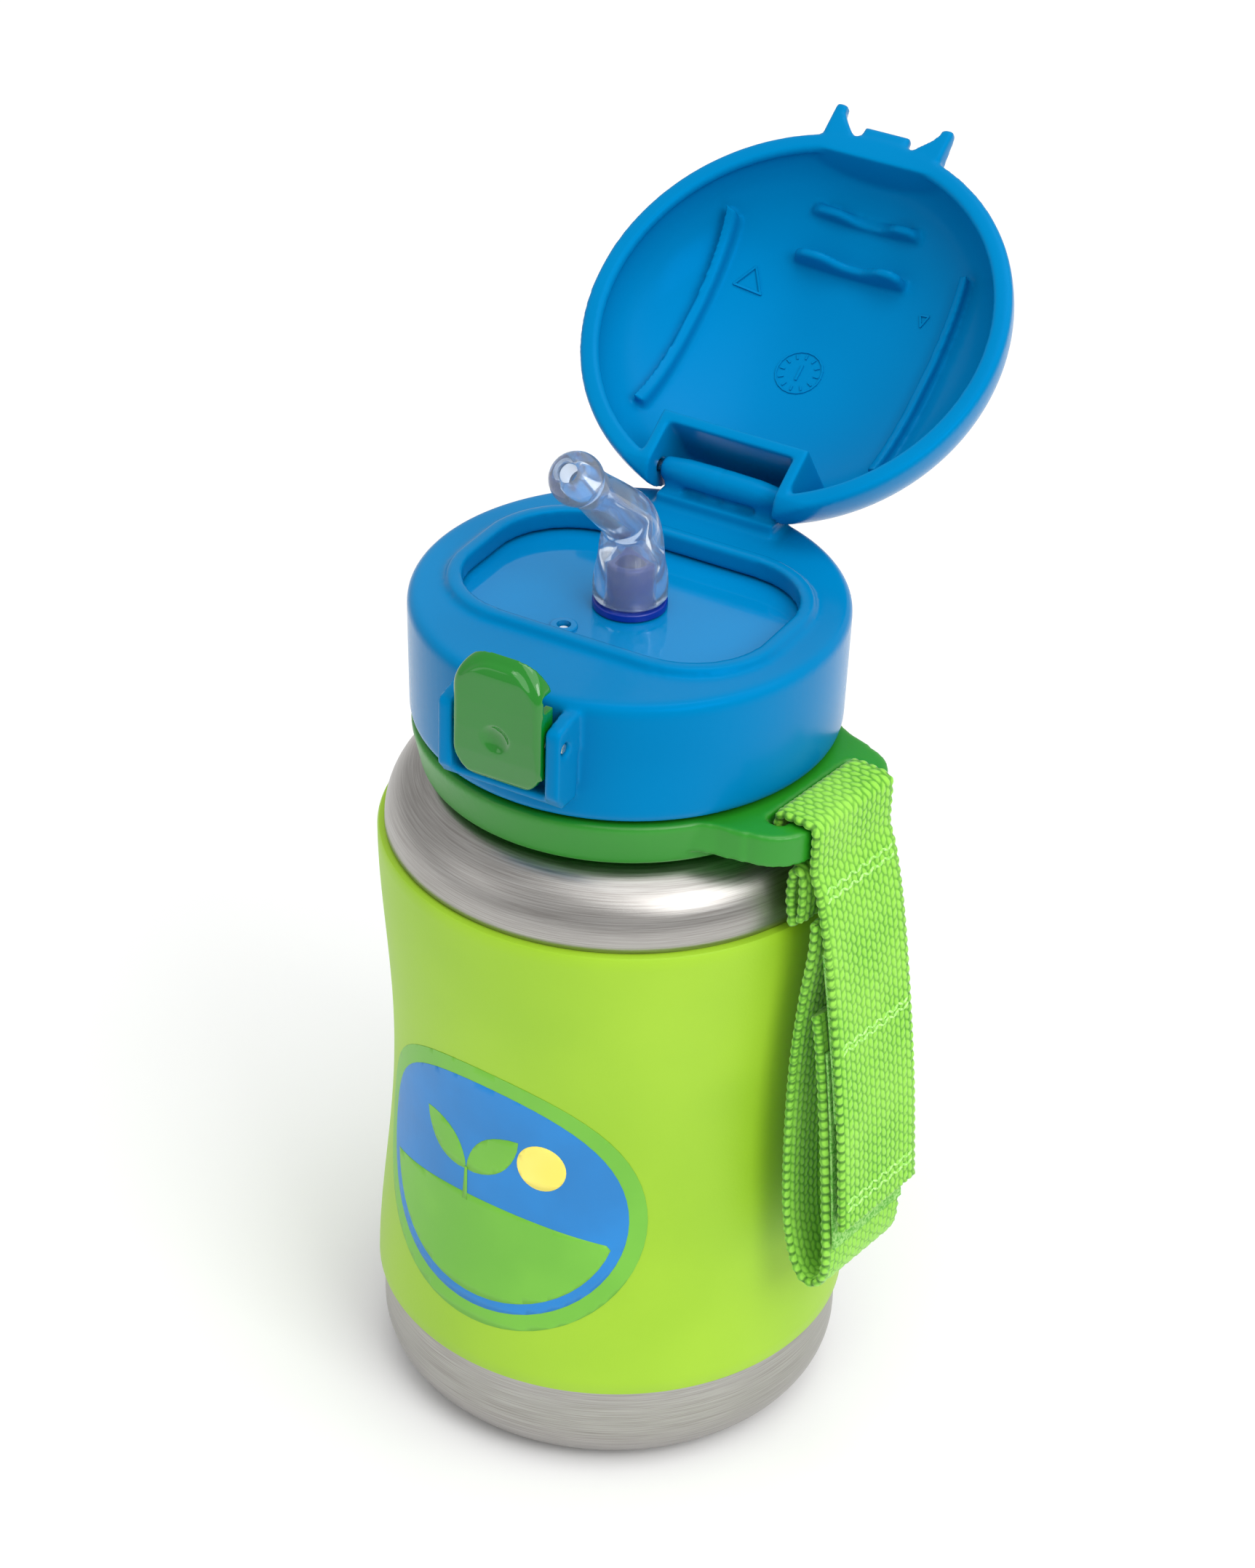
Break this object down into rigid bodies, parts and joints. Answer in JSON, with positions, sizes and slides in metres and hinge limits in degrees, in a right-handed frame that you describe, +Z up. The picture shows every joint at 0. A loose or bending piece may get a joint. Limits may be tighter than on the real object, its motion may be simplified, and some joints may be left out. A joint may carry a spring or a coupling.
{
  "type": "kids water bottle",
  "caption": "Small steel drinking bottle with a silicone sleeve, flip lid with push latch, folding spout and webbing strap.",
  "frame": {"origin": "centre of the flat base, on the bottle's axis, on the surface it stands on", "axes": "+Z up the bottle's axis, latch button towards -Y, lid hinge towards +Y, strap towards +X"},
  "size_m": [0.0909, 0.1214, 0.1881],
  "materials": {
    "steel": "brushed",
    "sleeve": "satin",
    "green_plastic": "satin",
    "webbing": "woven",
    "tape": "napped",
    "blue_plastic": "gloss",
    "well_plastic": "high gloss",
    "seal_silicone": "satin",
    "stem_plastic": "gloss",
    "clear_silicone": "satin",
    "straw_plastic": "gloss",
    "pin_steel": "satin",
    "button_plastic": "high gloss"
  },
  "bodies": {
    "bottle": {"steel_body": "steel", "silicone_sleeve": "sleeve"},
    "ring": {"strap_ring": "green_plastic", "strap_wrap": "webbing"},
    "strap": {"strap_front": "webbing", "strap_tail": "webbing", "strap_hem": "webbing", "hook_tape": "tape", "loop_tape": "tape"},
    "seal": {"cap_seal": "seal_silicone"},
    "cap": {"cap_shell": "blue_plastic", "well_plate": "well_plastic", "thread_insert": "blue_plastic", "vent_valve": "seal_silicone", "stem_seal": "seal_silicone", "spout_stem": "stem_plastic", "spout_base": "clear_silicone", "straw_tube": "straw_plastic", "latch_pin": "pin_steel", "latch_spring": "pin_steel"},
    "spout": {"spout_tip": "clear_silicone"},
    "lid": {"lid_shell": "blue_plastic", "lid_hinge_pin": "pin_steel"},
    "latch": {"latch_button": "button_plastic"}
  },
  "joints": [
    {"name": "ring_swivel", "type": "hinge", "parent": "bottle", "child": "ring", "pos_m": [0, 0, 0.117], "axis": [0, 0, 1], "continuous": true},
    {"name": "strap_swing", "type": "hinge", "parent": "ring", "child": "strap", "pos_m": [0.04189, -0.00589, 0.115], "axis": [-0.1392, -0.9903, 0], "range_deg": [0, 95]},
    {"name": "cap_lift", "type": "slide", "parent": "bottle", "child": "seal", "axis": [0, 0, 1], "range_m": [0, 0.0063]},
    {"name": "cap_turn", "type": "hinge", "parent": "seal", "child": "cap", "pos_m": [0, 0, 0.13], "axis": [0, 0, 1], "range_deg": [0, 450]},
    {"name": "lid_hinge", "type": "hinge", "parent": "cap", "child": "lid", "pos_m": [0, 0.0283, 0.1469], "axis": [1, 0, 0], "range_deg": [0, 146]},
    {"name": "spout_fold", "type": "hinge", "parent": "cap", "child": "spout", "pos_m": [0, 0, 0.1539], "axis": [1, 0, 0], "range_deg": [0, 52.1]},
    {"name": "latch_press", "type": "hinge", "parent": "cap", "child": "latch", "pos_m": [0, -0.0359, 0.1362], "axis": [1, 0, 0], "range_deg": [0, 8], "stiffness_Nm_per_rad": 0.05, "springref_deg": -2.86}
  ],
  "couplings": [
    {"joint": "cap_lift", "follows": "cap_turn", "m_per_rad": 0.00079577},
    {"joint": "spout_fold", "follows": "lid_hinge", "ratio": 0.35616}
  ]
}
